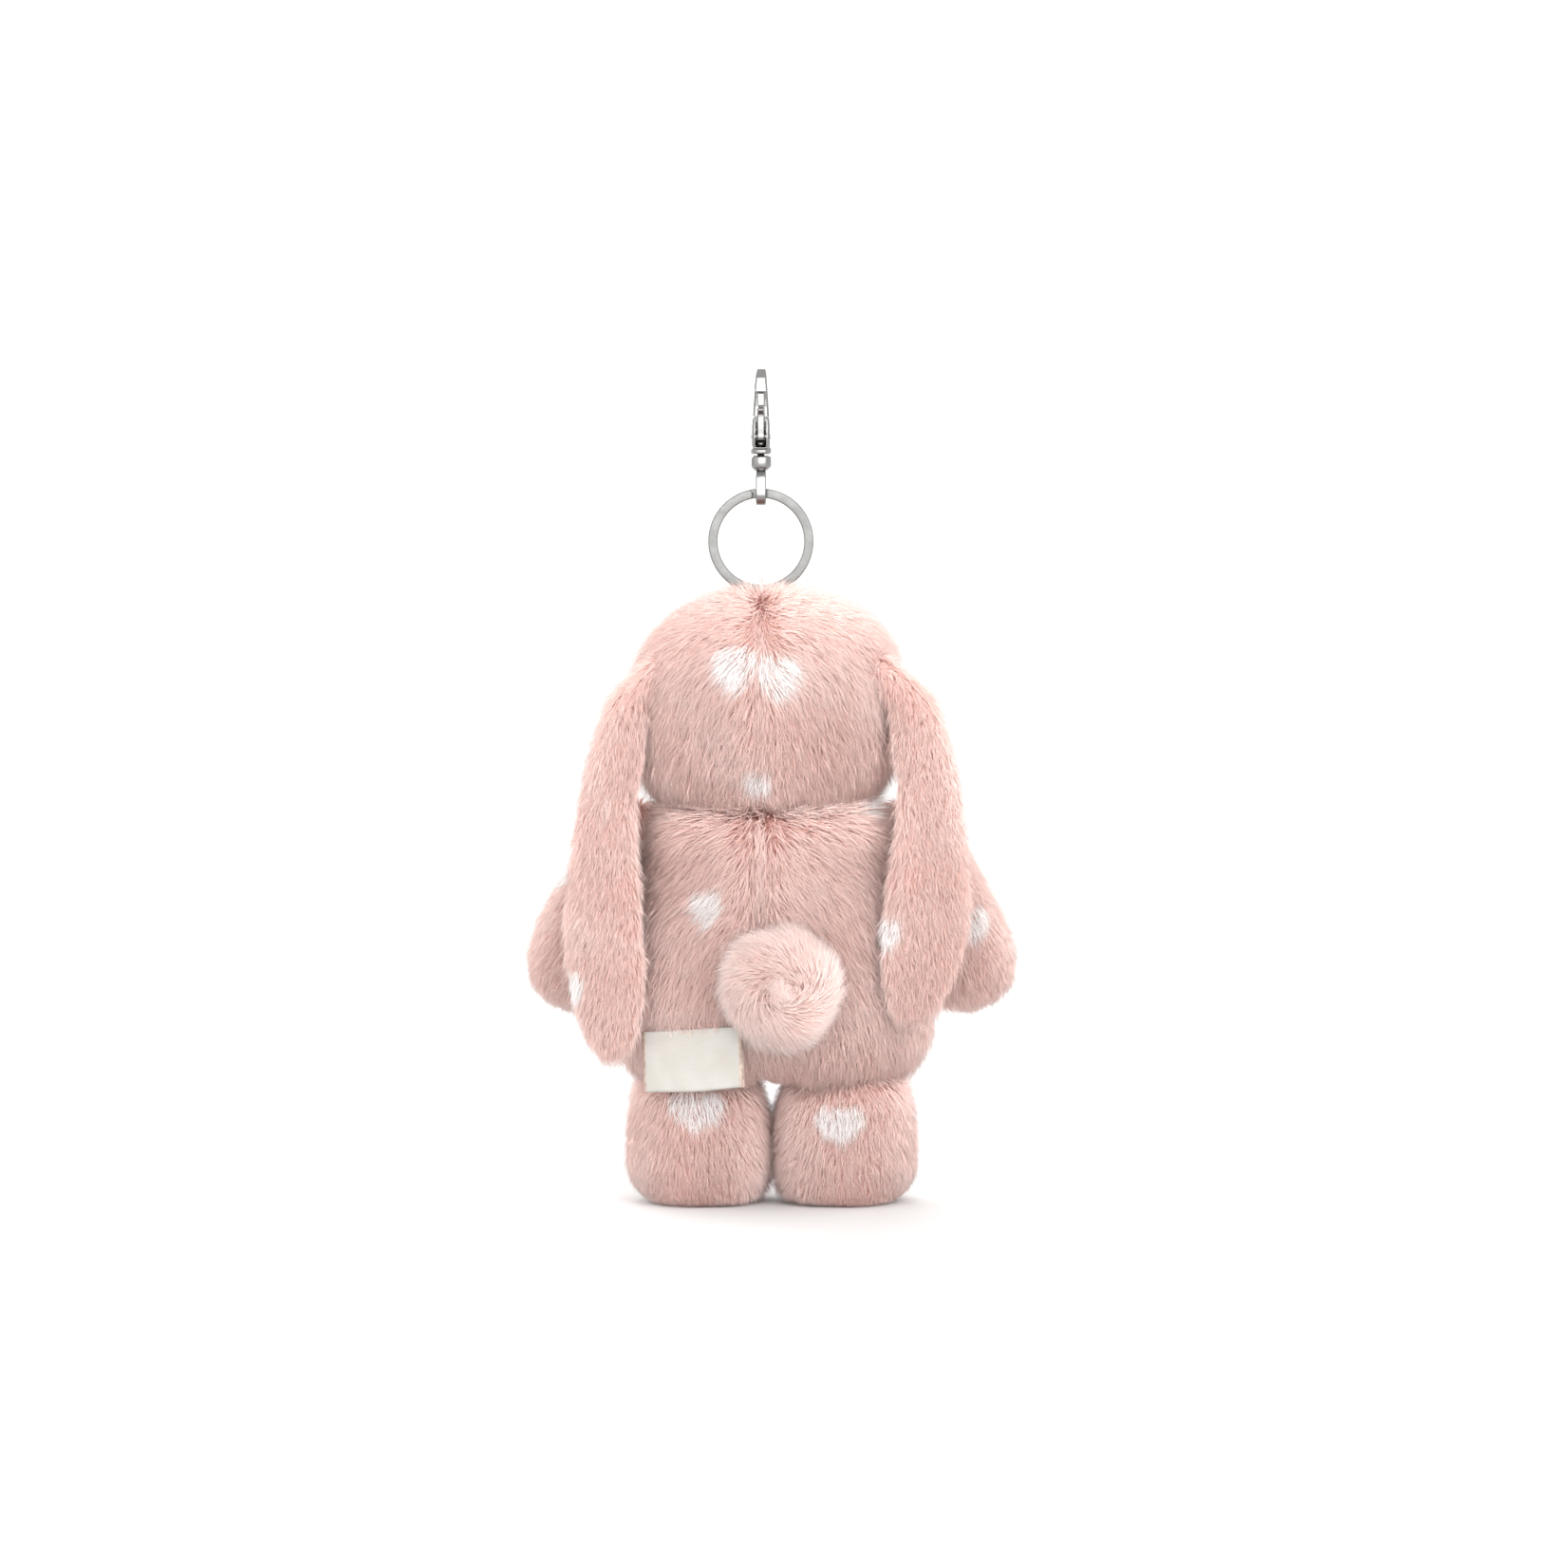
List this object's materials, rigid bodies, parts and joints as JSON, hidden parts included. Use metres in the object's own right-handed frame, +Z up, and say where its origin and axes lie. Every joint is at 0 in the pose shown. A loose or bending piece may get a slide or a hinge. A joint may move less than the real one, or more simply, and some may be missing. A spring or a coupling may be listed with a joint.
{
  "type": "plush keychain",
  "caption": "Stuffed fur rabbit with lop ears, hung by a cord loop from a split ring and a swivel snap hook.",
  "frame": {"origin": "on the floor, under the middle of the whole toy", "axes": "+Z up, the face looks along -Y, the rabbit's left is +X"},
  "size_m": [0.1124, 0.0662, 0.1991],
  "materials": {
    "fur": "brushed polyester fur, 6 mm pile, with pale heart patches",
    "pale_fur": "long brushed polyester fur",
    "ear_lining": "brushed polyester fur",
    "filling": "loose polyester fibre",
    "bead": "polished",
    "washer": "moulded",
    "floss": "stranded embroidery thread",
    "cord": "twisted cord",
    "label": "woven satin ribbon with a thin dark edge",
    "ring_steel": "nickel plated, softly brushed",
    "cast_metal": "die cast, nickel plated, polished"
  },
  "bodies": {
    "plush": {"head_back_left": "fur", "head_back_right": "fur", "face_panel": "fur", "head_stuffing": "filling", "eye_left": "bead", "eye_right": "bead", "eye_washer_left": "washer", "eye_washer_right": "washer", "nose_stitching": "floss", "mouth_stitching": "floss", "body_back_left": "fur", "body_back_right": "fur", "belly_panel": "fur", "body_stuffing": "filling", "neck_thread": "floss", "tail_pompom": "pale_fur", "leg_left_upper": "fur", "leg_left_sole": "fur", "leg_left_stuffing": "filling", "leg_right_upper": "fur", "leg_right_sole": "fur", "leg_right_stuffing": "filling", "hang_loop": "cord"},
    "ear_left": {"ear_left_outer": "fur", "ear_left_inner": "ear_lining"},
    "ear_right": {"ear_right_outer": "fur", "ear_right_inner": "ear_lining"},
    "arm_left": {"arm_left_back": "fur", "arm_left_front": "fur", "arm_left_stuffing": "filling"},
    "arm_right": {"arm_right_back": "fur", "arm_right_front": "fur", "arm_right_stuffing": "filling"},
    "tag": {"fabric_tag": "label"},
    "ring": {"split_ring": "ring_steel"},
    "swivel": {"swivel_eye": "cast_metal"},
    "hook": {"snap_hook_body": "cast_metal", "gate_pin": "cast_metal", "gate_spring": "ring_steel"},
    "gate": {"gate_lever": "cast_metal"}
  },
  "joints": [
    {"name": "ear_left_swing", "type": "hinge", "parent": "plush", "child": "ear_left", "pos_m": [0.03, 0.00825, 0.131], "axis": [0, -1, 0], "range_deg": [0, 75]},
    {"name": "ear_right_swing", "type": "hinge", "parent": "plush", "child": "ear_right", "pos_m": [-0.029, 0.00885, 0.1315], "axis": [0, 1, 0], "range_deg": [0, 75]},
    {"name": "arm_left_swing", "type": "hinge", "parent": "plush", "child": "arm_left", "pos_m": [0.034, -0.01095, 0.088], "axis": [0, -1, 0], "range_deg": [0, 55]},
    {"name": "arm_right_swing", "type": "hinge", "parent": "plush", "child": "arm_right", "pos_m": [-0.034, -0.01095, 0.088], "axis": [0, 1, 0], "range_deg": [0, 55]},
    {"name": "tag_lift", "type": "hinge", "parent": "plush", "child": "tag", "pos_m": [0.0186, 0.01615, 0.043], "axis": [0.9288, -0.3605, -0.0861], "range_deg": [0, 60]},
    {"name": "ring_swing", "type": "hinge", "parent": "plush", "child": "ring", "pos_m": [0.0026, -0.00415, 0.14655], "axis": [1, 0, 0], "range_deg": [-75, 75]},
    {"name": "eye_swing", "type": "hinge", "parent": "ring", "child": "swivel", "pos_m": [0.0026, -0.00415, 0.16925], "axis": [1, 0, 0], "range_deg": [-75, 75]},
    {"name": "hook_swivel", "type": "hinge", "parent": "swivel", "child": "hook", "pos_m": [0.0026, -0.00415, 0.1786], "axis": [0, 0, 1], "continuous": true},
    {"name": "gate_open", "type": "hinge", "parent": "hook", "child": "gate", "pos_m": [0.0026, -0.00075, 0.1828], "axis": [1, 0, 0], "range_deg": [0, 26], "stiffness_Nm_per_rad": 0.02, "springref_deg": -17.19}
  ]
}
